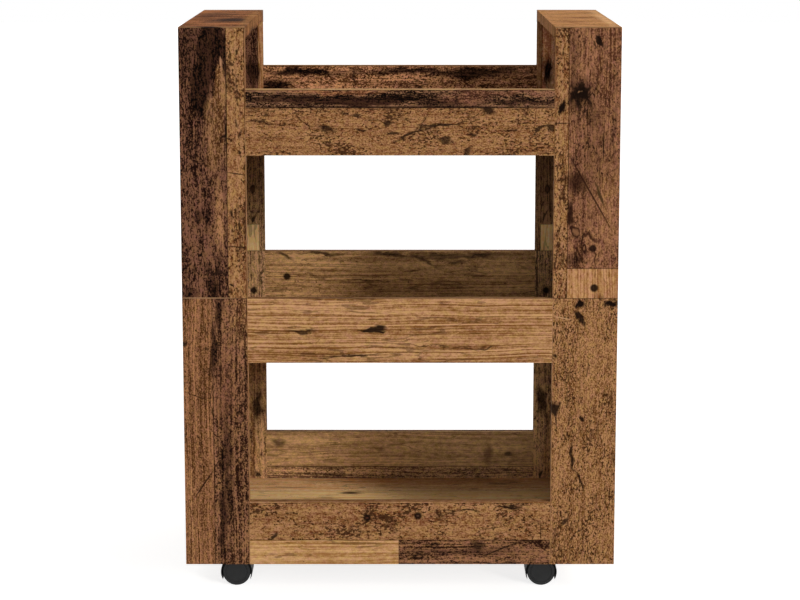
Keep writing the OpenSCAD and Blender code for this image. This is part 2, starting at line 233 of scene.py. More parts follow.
def bent_place(tree, place):
    """The grain wanders, so the place across it is pushed to and fro before the lines are drawn."""
    bend = blobs(tree, place, *GRAIN_BENDS)
    bend = add(tree, "Math", {0: bend, 1: BEND_MM * 2, 2: -BEND_MM}, operation="MULTIPLY_ADD")
    bend = add(tree, "CombineXYZ", {"Y": bend})
    return add(tree, "VectorMath", {0: place, 1: bend}, operation="ADD")


def grain_tone(tree, place, bent, grain, grit):
    """A sum of fine lines, torn fibres, broad bands, grit and a mottle, each by its own amount."""
    layers = (
        (blobs(tree, bent, *LINES), grain["X"]),
        (blobs(tree, place, *FIBRES), grain["Y"]),
        (blobs(tree, bent, *BANDS), grain["Z"]),
        (blobs(tree, place, *GRIT), grit),
        (blobs(tree, place, *MOTTLE), MOTTLE_AMOUNT),
    )
    tone = MIDDLE_TONE
    for pattern, amount in layers:
        centred = add(tree, "Math", {0: pattern, 1: -NOISE_MIDDLE}, operation="ADD")
        tone = add(tree, "Math", {0: centred, 1: amount, 2: tone}, operation="MULTIPLY_ADD")
    return add(tree, "Clamp", {"Value": tone})


print("Grain lines are about", LINES[0][1] * 2, "mm apart")

# %% [markdown]
# Age changes a plank in three ways that the print shows. Its hue drifts from yellow to purple.
# Fibres break out and show clean pale wood. Dirt settles in dark flecks, in larger blotches and
# in cracks. Each could be a picture of its own, but a threshold on noise gives the same ragged
# shapes: a low level lets in a lot of wear and a high one only its peaks.

# %% Hue and pale flecks
HUES = ((8.0, 4.5), 2.0, 0.5, 67.0)
HUE_SPREAD = 0.6
PALE_FLECKS = ((4.2, 1.7), 1.5, 0.5, 23.0)
PALE_LEVEL, PALE_BY_WEAR, PALE_STEP = 0.76, -0.2, 0.08
PALE_SHARE = 0.75
PALE_GAIN = 1.25


def tinted(tree, place, colour):
    """Old wood is yellower in one place and more purple in the next."""
    hue = blobs(tree, place, *HUES)
    green = add(tree, "Math", {0: hue, 1: HUE_SPREAD / 2, 2: 1 - HUE_SPREAD / 4},
                operation="MULTIPLY_ADD")
    blue = add(tree, "Math", {0: hue, 1: -HUE_SPREAD, 2: 1 + HUE_SPREAD / 2},
               operation="MULTIPLY_ADD")
    tint = add(tree, "CombineXYZ", {"X": 1.0, "Y": green, "Z": blue})
    return add(tree, "VectorMath", {0: colour, 1: tint}, operation="MULTIPLY")


def with_pale_flecks(tree, place, colour, light, wear):
    """Fibres that broke out show the clean wood, which is paler than the weathered face."""
    begin = add(tree, "Math", {0: wear, 1: PALE_BY_WEAR, 2: PALE_LEVEL}, operation="MULTIPLY_ADD")
    full = add(tree, "Math", {0: begin, 1: PALE_STEP}, operation="ADD")
    pale = blobs(tree, place, *PALE_FLECKS)
    pale = add(tree, "MapRange",
               {"Value": pale, "From Min": begin, "From Max": full, "To Max": PALE_SHARE})
    clean = add(tree, "VectorMath", {0: light, "Scale": PALE_GAIN}, operation="SCALE")
    return add(tree, "Mix", {MIX_FACTOR: pale, COLOUR_A: colour, COLOUR_B: clean}, **AS_COLOUR)


print("Pale flecks are about", PALE_FLECKS[0][0], "mm long")

# %% Dark flecks, blotches and cracks
PATCHES = ((48.0, 30.0), 2.0, 0.5, 11.0)
FLECKS = ((4.2, 2.6), 1.5, 0.55, 17.0)
BLOTCHES = ((12.0, 5.0), 4.0, 0.65, 37.0)
MARK_LEVEL, MARK_BY_WEAR, MARK_BY_PATCH = 1.13, -0.26, -0.5
FLECK_STEP, FLECK_SHARE = 0.035, 0.88
BLOTCH_BEGIN, BLOTCH_FULL, BLOTCH_SHARE = 0.07, 0.11, 0.9
CRACKS = ((120.0, 16.0), 2.0, 0.6, 29.0)
CRACK_DEPTH = 0.45
CRACK_BY_PATCH, CRACK_SHUT = 0.09, -0.036


def dark_marks(tree, place, patch, wear):
    """Flecks and blotches crowd in patches. More wear lowers the level at which they begin."""
    level = add(tree, "Math", {0: wear, 1: MARK_BY_WEAR, 2: MARK_LEVEL}, operation="MULTIPLY_ADD")
    level = add(tree, "Math", {0: patch, 1: MARK_BY_PATCH, 2: level}, operation="MULTIPLY_ADD")
    full = add(tree, "Math", {0: level, 1: FLECK_STEP}, operation="ADD")
    fleck = blobs(tree, place, *FLECKS)
    fleck = add(tree, "MapRange",
                {"Value": fleck, "From Min": level, "From Max": full, "To Max": FLECK_SHARE})
    fewer = add(tree, "Math", {0: level, 1: BLOTCH_BEGIN}, operation="ADD")
    whole = add(tree, "Math", {0: level, 1: BLOTCH_FULL}, operation="ADD")
    blotch = blobs(tree, place, *BLOTCHES)
    blotch = add(tree, "MapRange",
                 {"Value": blotch, "From Min": fewer, "From Max": whole, "To Max": BLOTCH_SHARE})
    return add(tree, "Math", {0: fleck, 1: blotch}, operation="MAXIMUM")


def cracks(tree, bent, patch):
    """A crack follows a contour of a slow pattern, and comes and goes with the patches."""
    contour = blobs(tree, bent, *CRACKS)
    contour = add(tree, "Math", {0: contour, 1: NOISE_MIDDLE}, operation="SUBTRACT")
    contour = add(tree, "Math", {0: contour}, operation="ABSOLUTE")
    open_to = add(tree, "Math", {0: patch, 1: CRACK_BY_PATCH, 2: CRACK_SHUT},
                  operation="MULTIPLY_ADD")
    crack = add(tree, "Math", {0: contour, 1: open_to}, operation="LESS_THAN")
    return add(tree, "Math", {0: crack, 1: CRACK_DEPTH}, operation="MULTIPLY")


print("Dark flecks crowd in patches of about", PATCHES[0][0], "mm")

# %% [markdown]
# The group puts these layers in order. Every plank could have a tree of its own, but that would
# be the same nodes many times over. The group takes a place, a light and a dark colour and two
# sets of amounts. It gives back a colour, and a relief that is low in the marks, for the gloss
# and the bump.

# %% The old wood group
SOOT = 0.2


def old_wood_group():
    group = bpy.data.node_groups.new("old_wood", "ShaderNodeTree")
    sockets = (("Place", "INPUT", "Vector"), ("Light", "INPUT", "Color"),
               ("Dark", "INPUT", "Color"), ("Grain", "INPUT", "Vector"),
               ("Wear", "INPUT", "Vector"), ("Colour", "OUTPUT", "Color"),
               ("Relief", "OUTPUT", "Float"))
    for name, way, kind in sockets:
        group.interface.new_socket(name, in_out=way, socket_type="NodeSocket" + kind)
    given = group.nodes.new("NodeGroupInput").outputs
    place = given["Place"]
    grain = add(group, "SeparateXYZ", {0: given["Grain"]}).node.outputs
    wear = add(group, "SeparateXYZ", {0: given["Wear"]}).node.outputs

    bent = bent_place(group, place)
    tone = grain_tone(group, place, bent, grain, wear["Z"])
    colour = add(group, "Mix",
                 {MIX_FACTOR: tone, COLOUR_A: given["Dark"], COLOUR_B: given["Light"]}, **AS_COLOUR)
    colour = tinted(group, place, colour)
    colour = with_pale_flecks(group, place, colour, given["Light"], wear["Y"])

    patch = blobs(group, place, *PATCHES)
    flecks = dark_marks(group, place, patch, wear["X"])
    marks = add(group, "Math", {0: flecks, 1: cracks(group, bent, patch)}, operation="MAXIMUM")
    soot = add(group, "VectorMath", {0: given["Dark"], "Scale": SOOT}, operation="SCALE")
    colour = add(group, "Mix", {MIX_FACTOR: marks, COLOUR_A: colour, COLOUR_B: soot}, **AS_COLOUR)
    relief = add(group, "Math", {0: tone, 1: marks}, operation="SUBTRACT")
    result = group.nodes.new("NodeGroupOutput")
    group.links.new(colour, result.inputs["Colour"])
    group.links.new(relief, result.inputs["Relief"])
    return group


OLD_WOOD = old_wood_group()
print("The old wood group has", len(OLD_WOOD.nodes), "nodes")

# %% [markdown]
# Each kind of plank is a light and a dark colour and two sets of amounts. The first set is how
# much fine line, torn fibre and broad band its grain has. The second is how many dark flecks and
# pale flecks its wear shows, and how much grit. The palest kinds, such as golden, rose, clay and
# straw, are painted light: they are paler than a real print, to make up for the shade where
# little light reaches.

# %% Kinds of plank
KINDS = {
    "tarred": ("#8a6246", "#0d0502", (1.6, 4.0, 4.6), (0.8, 0.7, 3.4)),
    "umber": ("#77503a", "#1a0a05", (1.2, 4.2, 3.2), (0.82, 0.7, 3.2)),
    "speckled": ("#a67b51", "#663b20", (1.0, 1.8, 1.2), (1.18, 0.6, 2.5)),
    "streaked": ("#9c6c49", "#42260f", (2.8, 1.5, 1.8), (0.85, 0.7, 2.2)),
    "bog": ("#906445", "#241108", (2.4, 2.0, 2.8), (0.85, 0.6, 2.8)),
    "russet": ("#98694a", "#4a2a1a", (1.8, 1.6, 1.6), (0.9, 0.7, 2.2)),
    "pine": ("#bb8e62", "#754b26", (3.6, 0.5, 0.8), (0.2, 0.3, 1.0)),
    "honey": ("#be8e63", "#7f512a", (2.6, 0.5, 1.0), (0.4, 0.3, 1.2)),
    "blond": ("#c99d6d", "#906437", (2.2, 0.3, 1.2), (0.3, 0.3, 0.8)),
    "straw": ("#e2b781", "#b98954", (1.4, 0.4, 0.8), (0.3, 0.3, 0.8)),
    "edge": ("#b98c60", "#9a6c42", (0.8, 0.2, 0.4), (0.3, 0.3, 0.5)),
    "olive": ("#e4b277", "#845b37", (2.2, 0.5, 1.4), (0.7, 0.5, 1.0)),
    "rose": ("#ffdda4", "#e6a468", (2.0, 0.6, 1.4), (0.6, 0.3, 1.2)),
    "clay": ("#ffc896", "#c4764c", (2.0, 2.0, 2.4), (0.85, 0.4, 2.4)),
    "dusky": ("#e0b27a", "#94704a", (1.6, 0.4, 1.4), (0.4, 0.4, 0.8)),
    "golden": ("#ffe0a0", "#f6bc78", (2.2, 0.5, 1.2), (0.5, 0.3, 1.0)),
    "cork": ("#a97c52", "#623c1f", (0.6, 1.8, 1.2), (1.07, 0.6, 3.3)),
    "rust": ("#c07a48", "#3e1c0a", (2.0, 1.4, 4.0), (0.9, 0.5, 1.6)),
    "amber": ("#e6a66c", "#94612f", (2.6, 0.8, 2.4), (0.7, 0.5, 1.4)),
    "walnut": ("#b08259", "#4a2f1e", (2.6, 1.6, 1.8), (0.7, 0.4, 1.4)),
    "sienna": ("#dfae78", "#624430", (2.4, 1.8, 1.6), (0.8, 0.4, 1.8)),
    "burnt": ("#cb9064", "#4c2c18", (1.6, 2.4, 2.4), (0.9, 0.6, 3.6)),
}
print("Kinds of plank:", ", ".join(KINDS))

# %% [markdown]
# ## A board's print
#
# A real board of this kind is particle board under printed paper, pressed together with clear
# melamine resin. One picture for each board would carry the print. Here three tables do. The
# planks are rectangles along and across the grain. The stains change the wood's own colours
# inside a ragged ellipse, so that the grain goes on through them. The marks lie on top: knots,
# nail holes and single cracks. All are in millimetres in the cart's own frame.
#
# The paper wraps round a board's edges, so the depth in the board is added to the place across
# the grain. On the tops of the posts, where the grain runs from side to side, it is added along
# it.

# %% The place on a board
def board_place(tree, along, across, depth, wrap):
    """The flat place on the print, and the same place with the depth in the board as its height."""
    place = add(tree, "TexCoord", out="Object")
    place = add(tree, "VectorMath", {0: place, "Scale": 1 / MM}, operation="SCALE")
    axes = add(tree, "SeparateXYZ", {0: place}).node.outputs
    inward = add(tree, "Math", {0: axes[depth[0]], 1: depth[1]}, operation="SUBTRACT")
    flat = {"along": axes[along], "across": axes[across]}
    flat[wrap] = add(tree, "Math", {0: flat[wrap], 1: inward}, operation="ADD")
    flat = add(tree, "CombineXYZ", {"X": flat["along"], "Y": flat["across"]})
    deep = add(tree, "CombineXYZ", {"Z": inward})
    return flat, add(tree, "VectorMath", {0: flat, 1: deep}, operation="ADD")


# %% Ragged outlines
# How far each pattern pushes an outline, and the pattern itself.
DRIFT_MM, DRIFTS = 9.0, ((30.0, 14.0), 1.0, 0.5, 41.0)
TEAR_MM, TEARS = 3.0, ((7.0, 3.0), 1.0, 0.5, 43.0)
COMB_MM, COMBINGS = 14.0, ((70.0, 2.2), 1.0, 0.5, 47.0)


def shaken(tree, flat, along, across, pattern):
    """The flat place, pushed to and fro by some millimetres, so that outlines on it are ragged."""
    noise = blobs(tree, flat, *pattern).node.outputs["Color"]
    push = add(tree, "VectorMath",
               {0: noise, 1: (along * 2, across * 2, 0), 2: (-along, -across, 0)},
               operation="MULTIPLY_ADD")
    return add(tree, "VectorMath", {0: flat, 1: push}, operation="ADD")


def outline_places(tree, flat):
    """Drilled and scratched marks are clean, broken ones torn, and combed ones follow the grain."""
    drifting = shaken(tree, flat, DRIFT_MM, DRIFT_MM, DRIFTS)
    torn = shaken(tree, drifting, TEAR_MM, TEAR_MM, TEARS)
    combed = shaken(tree, torn, COMB_MM, 0, COMBINGS)
    return {"clean": flat, "torn": torn, "combed": combed}


print("Torn outlines wander by up to", DRIFT_MM + TEAR_MM, "mm")

# %% Planks
FAR = 4000.0
ALL = (-FAR, FAR)
SHIFT_MM = 900
SHIFT_DEPTH_MM = 50


def lay(tree, deep, wood, rows, draw):
    """A row is a kind, from and to along the grain, from and to across it, and perhaps from and to
    in depth. Each plank covers what was laid before it and draws a grain of its own."""
    for kind, u0, u1, v0, v1, *layer in rows:
        light, dark, grain, wear = KINDS[kind]
        near, far = layer or ALL
        middle = ((u0 + u1) / 2, (v0 + v1) / 2, (near + far) / 2)
        half = ((u1 - u0) / 2, (v1 - v0) / 2, (far - near) / 2)
        away = add(tree, "VectorMath", {0: deep, 1: middle}, operation="SUBTRACT")
        away = add(tree, "VectorMath", {0: away}, operation="ABSOLUTE")
        inside = add(tree, "VectorMath", {0: half, 1: away}, operation="SUBTRACT")
        inside = add(tree, "SeparateXYZ", {0: inside}).node.outputs
        to_edge = add(tree, "Math", {0: inside["X"], 1: inside["Y"]}, operation="MINIMUM")
        within = add(tree, "Math", {0: to_edge, 1: inside["Z"]}, operation="MINIMUM")
        mask = add(tree, "Math", {0: within, 1: 0.0}, operation="GREATER_THAN")
        shift = (draw.uniform(-SHIFT_MM, SHIFT_MM), draw.uniform(-SHIFT_MM, SHIFT_MM),
                 draw.uniform(-SHIFT_DEPTH_MM, SHIFT_DEPTH_MM))
        own = {"Light": linear(light)[:3], "Dark": linear(dark)[:3], "Grain": grain, "Wear": wear,
               "Place": shift}
        for socket, value in own.items():
            wood[socket] = add(tree, "Mix",
                               {MIX_FACTOR: mask, VECTOR_A: wood[socket], VECTOR_B: value},
                               **AS_VECTOR)
        wood["Border"] = add(tree, "Mix",
                             {MIX_FACTOR: mask, NUMBER_A: wood["Border"], NUMBER_B: to_edge},
                             **AS_NUMBER)


print("Each plank's grain is shifted by up to", SHIFT_MM, "mm")

# %% Stains and marks
# A stain or a mark is an ellipse: its place along and across the grain, its length and breadth, its
# turn in degrees, how soft its edge is and how strong it is. A stain then has its light and dark
# colours, and a mark its one colour and its outline. A few stains are painted light, not print:
# a painted highlight on an edge and a painted shade on the bottom shelf.
HOLE = "#150b06"
FAINT_CHIP = (0.4, 0.7, HOLE, "torn")
CHIP = (0.4, 0.8, HOLE, "torn")
DEEP_CHIP = (0.4, 0.85, HOLE, "torn")
GOUGE = (0.4, 0.9, HOLE, "torn")
BURST = (0.3, 0.9, HOLE, "torn")
SCRATCH = (0.3, 0.8, HOLE, "clean")
NAIL_HOLE = (0.25, 0.95, HOLE, "clean")


def ellipse(tree, place, u, v, length, breadth, turn, soft, strength):
    """strength inside the ellipse, fading out over the share soft of its radius on both sides."""
    local = add(tree, "Mapping",
                {"Vector": place, "Location": (u, v, 0), "Scale": (length / 2, breadth / 2, 1),
                 "Rotation": (0, 0, math.radians(turn))}, vector_type="TEXTURE")
    reach = add(tree, "VectorMath", {0: local}, out="Value", operation="LENGTH")
    return add(tree, "MapRange",
               {"Value": reach, "From Min": 1 + soft, "From Max": 1 - soft, "To Max": strength})


def stain_and_paint_light(tree, place, wood, rows):
    for u, v, length, breadth, turn, soft, strength, pale, dark in rows:
        mask = ellipse(tree, place, u, v, length, breadth, turn, soft, strength)
        for socket, tint in (("Light", linear(pale)[:3]), ("Dark", linear(dark)[:3])):
            wood[socket] = add(tree, "Mix",
                               {MIX_FACTOR: mask, VECTOR_A: wood[socket], VECTOR_B: tint},
                               **AS_VECTOR)


def marked(tree, outlines, colour, rows):
    for u, v, length, breadth, turn, soft, strength, tint, outline in rows:
        mask = ellipse(tree, outlines[outline], u, v, length, breadth, turn, soft, strength)
        colour = add(tree, "Mix",
                     {MIX_FACTOR: mask, COLOUR_A: colour, COLOUR_B: linear(tint)}, **AS_COLOUR)
    return colour


print("A nail hole is as dark as", HOLE)

# %% [markdown]
# The finish of such a board is the resin's. It is nearly dull, so the print keeps its colours
# from any side. The grain is pressed in by less than a quarter of a millimetre, which only breaks
# up the light, and the marks shine a little less than the wood around them. A fine dark line
# closes each printed plank, as the joint between real planks would.

# %% A board's material
SEAM_MM, SEAM_SHARE = 0.9, 0.8
EMBOSS_MM, EMBOSS_SHARE = 0.2, 0.3
DULL, SHEEN = 0.8, 0.7
RESIN_IOR, RESIN_SPECULAR = 1.5, 0.02


def dress(names, material):
    for name in names.split():
        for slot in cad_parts[name].material_slots:
            slot.material = material


def print_board(name, along, across, depth, planks, stains_and_painted_light=(), marks=(), *, seed, wrap="across",
                over=()):
    """along, across and depth name the board's axes, depth with the place of its printed face.
    The planks in over are laid after the stains."""
    material = bpy.data.materials.new("printed_chipboard_" + name)
    tree = emptied(material)
    flat, deep = board_place(tree, along, across, depth, wrap)
    outlines = outline_places(tree, flat)
    wood = dict.fromkeys(("Light", "Dark", "Grain", "Wear", "Place"), (0.0, 0.0, 0.0))
    wood["Border"] = FAR
    draw = random.Random(seed)
    lay(tree, deep, wood, planks, draw)
    stain_and_paint_light(tree, outlines["combed"], wood, stains_and_painted_light)
    lay(tree, deep, wood, over, draw)

    border = wood.pop("Border")
    wood["Place"] = add(tree, "VectorMath", {0: flat, 1: wood["Place"]}, operation="ADD")
    drawn = add(tree, "Group", wood, node_tree=OLD_WOOD).node.outputs
    relief = drawn["Relief"]
    seam = add(tree, "MapRange",
               {"Value": border, "From Min": SEAM_MM, "From Max": 0.0, "To Max": SEAM_SHARE})
    colour = add(tree, "Mix",
                 {MIX_FACTOR: seam, COLOUR_A: drawn["Colour"], COLOUR_B: linear(HOLE)}, **AS_COLOUR)
    colour = marked(tree, outlines, colour, marks)
    bump = add(tree, "Bump",
               {"Strength": EMBOSS_SHARE, "Distance": EMBOSS_MM * MM, "Height": relief})
    gloss = add(tree, "MapRange", {"Value": relief, "To Min": DULL, "To Max": SHEEN})
    surface = add(tree, "BsdfPrincipled",
                  {"Base Color": colour, "Roughness": gloss, "Normal": bump, "IOR": RESIN_IOR,
                   "Specular IOR Level": RESIN_SPECULAR})
    add(tree, "OutputMaterial", {"Surface": surface})
    dress(name, material)
    print(name, "has", len(planks) + len(over), "printed planks and", len(marks), "marks")


print("The grain is pressed in by", EMBOSS_MM, "mm")

# %% [markdown]
# ## The front posts
#
# Both front boards stand upright, so their grain runs up the cart. Noise alone would give a
# likely board, but the photograph shows these two best of all, with a black patch, a burst knot,
# a long scratch and nail holes at known places. So they have the longest tables. On each, a joint
# between upper and lower planks lies at the height of the middle rail's top.

# %% Heights, faces and stain colours
# The posts reach from INNER to OUTER on both sides and from LOW to HIGH. A plank at a board's edge
# is laid EDGE further, so that its print goes on round the edge. A band closes each post's top.
FRONT_FACE = -225
BACK_FACE = 210
INNER, OUTER = 210, 300
LOW, JOINT, HIGH = 50, 428.5, 800
BAND = HIGH - 0.8
EDGE = 40
INSIDE, OUTSIDE = INNER - EDGE, OUTER + EDGE
UNDER, OVER = LOW - EDGE, HIGH + EDGE
BLACK = ("#3c2418", "#050201")
TAN = ("#ab7c52", "#5c3822")
BROWN = ("#966c48", "#503019")
OCHRE = ("#c8935c", "#6a4526")
print("The posts are", OUTER - INNER, "mm wide")

# %% Left front post
print_board(
    "left_front_post", "Z", "X", ("Y", FRONT_FACE),
    [("umber", JOINT, OVER, -OUTSIDE, -236),
     ("streaked", UNDER, JOINT, -OUTSIDE, -259),
     ("bog", UNDER, JOINT, -259, -INSIDE),
     ("edge", BAND, OVER, *ALL)],
    [(768, -252, 84, 46, 0, 0.12, 1.0, *BLACK),
     (712, -271, 80, 30, 0, 0.2, 1.0, *BLACK),
     (764, -284, 90, 30, 0, 0.6, 0.6, *BLACK),
     (716, -245, 66, 17, 0, 0.12, 1.0, *BROWN),
     (654, -252, 100, 26, 0, 0.35, 0.8, *BROWN),
     (540, -247, 90, 15, 0, 0.4, 0.7, *TAN),
     (539, -275, 22, 9, 0, 0.4, 0.8, *BLACK),
     (538, -264, 30, 8, 0, 0.4, 0.8, *BLACK),
     (445, -256, 38, 14, 0, 0.4, 0.9, *BLACK),
     (436, -291, 20, 20, 0, 0.4, 0.8, *BLACK),
     (408, -248, 40, 12, 0, 0.4, 0.9, *BLACK),
     (395, -217, 60, 20, 0, 0.5, 0.8, *TAN),
     (355, -256, 70, 7, 0, 0.4, 0.9, *BLACK),
     (300, -242, 120, 22, 0, 0.5, 0.6, "#7a4e38", "#3a2216"),
     (190, -240, 150, 16, 0, 0.5, 0.8, *BLACK),
     (110, -248, 100, 12, 0, 0.4, 0.9, *BLACK),
     (120, -292, 120, 10, 0, 0.4, 0.9, *TAN)],
    [(658, -239.5, 31, 4, 0, *BURST),
     (762, -222, 8, 4, 20, *GOUGE),
     (672, -222, 14, 6, -30, *CHIP),
     (655, -216, 12, 5, 30, *CHIP),
     (629, -220, 8, 6, 0, *GOUGE),
     (601, -223, 1.8, 24, 8, *SCRATCH),
     (546, -230, 8, 6, 0, *GOUGE),
     (529, -222, 12, 3, 0, *CHIP),
     (500, -223, 1.8, 24, 6, *SCRATCH),
     (466, -248, 6, 20, 0, *CHIP),
     (446, -231, 5, 6, 0, *GOUGE),
     (367, -297, 10, 5, 0, *GOUGE),
     (357, -268, 6, 6, 0, *CHIP),
     (310, -259.5, 150, 1.8, 0, *CHIP),
     (166, -273, 50, 2.2, 34, 0.3, 0.85, HOLE, "clean"),
     (290, -280, 1.6, 34, 20, 0.3, 0.6, HOLE, "clean"),
     (429, -268, 1.3, 90, 0, 0.3, 0.7, "#b48a63", "clean"),
     (690, -236, 220, 1.6, 0, 0.3, 0.75, HOLE, "clean"),
     (750, -241, 14, 5, 0, 0.4, 0.8, "#b48260", "torn")],
    seed=1,
    # The honey strip at the inner edge is a painted highlight, where the edge catches the light.
    over=[("speckled", JOINT, BAND, -236, -211), ("honey", LOW, BAND, -211, -INSIDE)])

# %% Right front post
print_board(
    "right_front_post", "Z", "X", ("Y", FRONT_FACE),
    [("speckled", JOINT, OVER, INSIDE, 229.5),
     ("russet", 470, OVER, 229.5, OUTSIDE),
     ("honey", JOINT, 470, 229.5, OUTSIDE),
     ("cork", UNDER, JOINT, INSIDE, OUTSIDE),
     ("edge", BAND, OVER, *ALL),
     # The honey strip at the inner edge is a painted highlight, where the edge catches the light.
     ("honey", LOW, BAND, INSIDE, 211)],
    [(709, 245, 36, 28, 20, 0.5, 0.9, *BLACK),
     (682, 258, 30, 12, -25, 0.5, 0.8, "#5a3c28", "#241408"),
     (740, 236, 120, 12, 0, 0.5, 0.5, *BLACK),
     (630, 262, 150, 34, 0, 0.6, 0.5, "#6e4a32", "#34200f"),
     (586, 242, 30, 28, 0, 0.4, 0.8, "#5a3a26", "#160c06"),
     (550, 233, 34, 8, 0, 0.4, 0.9, *BLACK),
     (483, 240, 16, 20, -40, 0.5, 0.7, *BLACK),
     (560, 284, 90, 26, 0, 0.5, 0.6, "#a2744e", "#6a4428")],
    [(782, 271, 21, 9, -45, 0.2, 0.95, HOLE, "torn"),
     (776, 264, 12, 4, -45, *CHIP),
     (709, 245, 40, 9, 8, *BURST),
     (709, 245, 34, 8, 52, *BURST),
     (709, 245, 27, 9, 96, *BURST),
     (709, 245, 34, 8, 134, *BURST),
     (691, 219, 20, 12, 30, 0.3, 1.0, HOLE, "torn"),
     (670, 220, 1.6, 20, 0, *SCRATCH),
     (711, 246, 4, 2.4, 30, 0.4, 0.7, "#8a6444", "torn"),
     (640, 277, 40, 1.8, 0, *SCRATCH),
     (577, 259, 120, 2.4, -30, 0.3, 0.9, "#2a160c", "clean"),
     (572, 275, 32, 6, -24, 0.3, 0.9, "#3a2a16", "torn"),
     (590, 240, 26, 26, 0, 0.4, 0.6, "#2a140a", "torn"),
     (543, 233, 24, 10, 0, 0.3, 0.8, "#26120a", "torn"),
     (522, 238, 17, 12, 0, 0.2, 0.95, "#26120a", "torn"),
     (522, 238.5, 10, 6, 0, 0.3, 0.9, "#7e563a", "torn"),
     (497, 252.5, 14, 12, 0, 0.2, 0.95, "#26120a", "torn"),
     (497, 252.5, 7, 5, 0, 0.3, 0.9, "#7e563a", "torn"),
     (514, 262, 5, 28, 30, 0.3, 0.85, "#2e160c", "torn"),
     (490, 243, 22, 4, -30, 0.3, 0.85, "#2e160c", "torn"),
     (490, 268, 30, 2, 0, 0.4, 0.8, "#2e160c", "torn"),
     (498, 264.5, 10, 10, 0, 0.2, 0.95, "#1c0e08", "clean"),
     (512, 250, 24, 3, 20, *FAINT_CHIP),
     (443, 267, 11, 11, 0, 0.2, 0.95, HOLE, "clean"),
     (420, 247, 9, 14, 0, 0.3, 1.0, HOLE, "torn"),
     (420, 290, 8, 20, 0, 0.3, 1.0, HOLE, "torn"),
     (401, 249, 24, 6, -30, 0.3, 0.95, HOLE, "torn"),
     (401, 224, 1.6, 24, 10, 0.3, 0.7, "#c69a70", "clean"),
     (346, 216, 7, 6, 0, *GOUGE),
     (274, 216, 20, 12, 0, 0.3, 0.95, HOLE, "torn"),
     (254, 219, 30, 2.4, 0, *CHIP),
     (259, 250, 7, 8, 0, 0.3, 0.95, HOLE, "torn"),
     (206, 240, 40, 4, -6, *GOUGE),
     (172, 250, 36, 4, -24, *GOUGE),
     (92, 246, 30, 2, 50, *CHIP),
     (114, 231, 13, 4, 30, 0.3, 0.85, HOLE, "torn")],
    seed=2)

# %% [markdown]
# ## The rails
#
# The rails lie down, so their grain runs from side to side. Each shows two or three planks, one
# above the other, with joints that run its whole length. The narrow top edge is a pale plank of
# its own, and on the top front rail it is a painted highlight, paler than the print, for the light
# that falls on the top edge from above. One material could serve all six rails, but then each
# would repeat the others' knots.

# %% Top front rail
# The heights of the rails' lower edges, and how high a rail is.
BOTTOM, MIDDLE, TOP, RAIL_H = 50, 338, 626, 90

print_board(
    "top_front_rail", "X", "Z", ("Y", FRONT_FACE),
    [("tarred", *ALL, 691, 715.3),
     # The straw top edge is a painted highlight, paler than the print, for light from above.
     ("straw", *ALL, 715.3, TOP + RAIL_H + EDGE)],
    [(-160, 702, 110, 13, 0, 0.3, 0.9, *BLACK),
     (-60, 701, 170, 15, 0, 0.2, 1.0, *BLACK),
     (60, 698, 90, 12, 0, 0.4, 0.9, *BLACK),
     (170, 697, 110, 9, 0, 0.4, 0.9, *BLACK),
     (-90, 713, 130, 5, 0, 0.4, 0.9, "#a06c48", "#5a3420"),
     (90, 704, 60, 16, 0, 0.5, 0.7, "#8a5a42", "#4a2b1d"),
     (150, 711, 130, 7, 0, 0.4, 0.8, "#90624a", "#52301f")],
    [(-132, 672, 38, 2, -55, *DEEP_CHIP),
     (-160, 672, 10, 4, 20, *CHIP),
     (12, 656, 46, 4, 22, *GOUGE),
     (52, 668, 60, 4, 6, *GOUGE),
     (28, 666, 40, 3, 55, *FAINT_CHIP),
     (120, 686, 22, 7, -20, *GOUGE),
     (75, 702, 3, 16, 0, *DEEP_CHIP),
     (0, 692, 440, 2.6, 0, 0.5, 0.8, HOLE, "clean"),
     (-190, 671, 40, 4, 0, *CHIP),
     (192, 662, 30, 4, 35, *DEEP_CHIP),
     (205, 664, 12, 9, 0, *DEEP_CHIP),
     (-100, 662, 26, 6, 0, *CHIP),
     (-52, 662, 10, 6, 0, *GOUGE),
     (-182, 682, 12, 4, 10, *CHIP),
     (-76, 684, 10, 4, 0, *DEEP_CHIP),
     (-61, 681, 14, 5, 0, *DEEP_CHIP),
     (-16, 672, 14, 5, 0, *DEEP_CHIP),
     (-7, 659, 14, 5, 0, *DEEP_CHIP),
     (60, 648, 24, 4, -10, *CHIP),
     (92, 630, 16, 5, 40, *CHIP),
     (100, 653, 12, 5, 0, *DEEP_CHIP),
     (150, 660, 20, 4, -20, *CHIP),
     (184, 677, 1.4, 26, -5, 0.4, 0.8, "#4a2216", "clean")],
    seed=3,
    over=[("speckled", *ALL, TOP - EDGE, 691)])

# %% Middle front rail
print_board(
    "middle_front_rail", "X", "Z", ("Y", FRONT_FACE),
    [("pine", *ALL, MIDDLE - EDGE, MIDDLE + RAIL_H + EDGE)],
    [(-130, 350, 120, 18, 0, 0.5, 0.4, "#96663c", "#5a3519"),
     (70, 362, 130, 6, 0, 0.5, 0.6, "#8a5c34", "#4f2d14")],
    [(-36, 385, 34, 9, 4, 0.25, 0.95, HOLE, "combed"),
     (-135, 384, 40, 5, 0, *CHIP),
     (-66, 347, 76, 4, 3, *CHIP),
     (40, 362, 60, 2, -3, *FAINT_CHIP),
     (112, 360, 50, 2, -2, *FAINT_CHIP)],
    seed=4)

